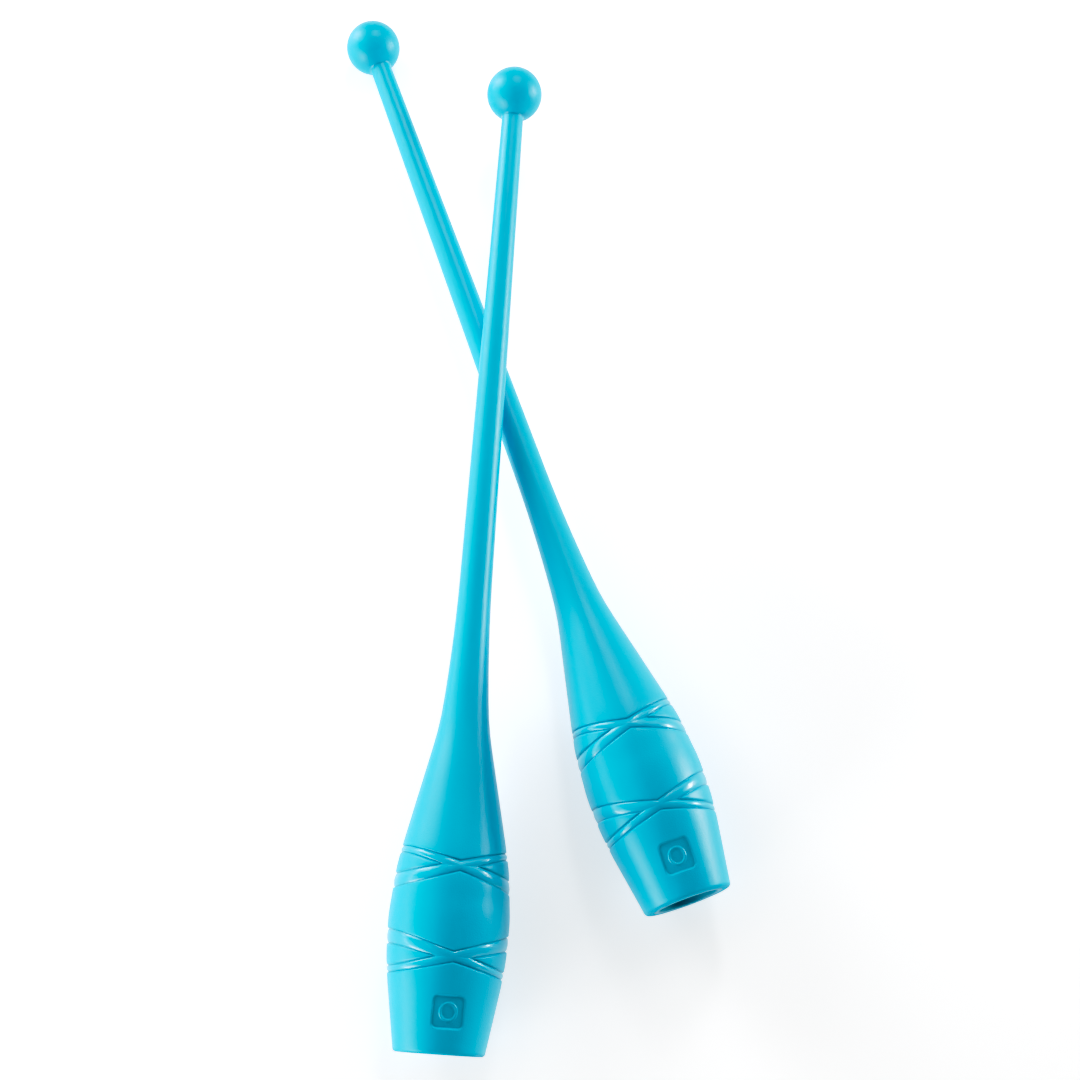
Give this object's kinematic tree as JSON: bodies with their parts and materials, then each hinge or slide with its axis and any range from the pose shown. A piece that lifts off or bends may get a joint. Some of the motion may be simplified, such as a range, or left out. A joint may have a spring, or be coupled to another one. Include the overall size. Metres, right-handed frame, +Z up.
{
  "type": "gymnastics clubs",
  "caption": "Slim turquoise gymnastics clubs lying crossed, each with a ball head, a tapering neck, a banded bulb and an open socket in its base.",
  "frame": {"origin": "middle of the pair's footprint, on the floor that the clubs lie on", "axes": "+Z up from the floor; +Y along the clubs towards their ball heads; +X to the right seen from above with the heads away"},
  "size_m": [0.1568, 0.4396, 0.046],
  "materials": {
    "club_plastic": "satin moulded turquoise plastic with a fine grain",
    "cup_rubber": "smooth satin turquoise elastomer",
    "rod_metal": "drawn, lightly brushed along its length",
    "plug_plastic": "natural uncoloured moulded plastic"
  },
  "bodies": {
    "lower_club": {"lower_shell": "club_plastic", "lower_head": "club_plastic", "lower_core_rod": "rod_metal", "lower_neck_plug": "plug_plastic", "lower_socket_cup": "cup_rubber"},
    "upper_club": {"upper_shell": "club_plastic", "upper_head": "club_plastic", "upper_core_rod": "rod_metal", "upper_neck_plug": "plug_plastic", "upper_socket_cup": "cup_rubber"}
  },
  "joints": [
    {"name": "upper_club_lift", "type": "slide", "parent": "lower_club", "child": "upper_club", "axis": [0, 0, 1], "range_m": [0, 0.15]}
  ]
}
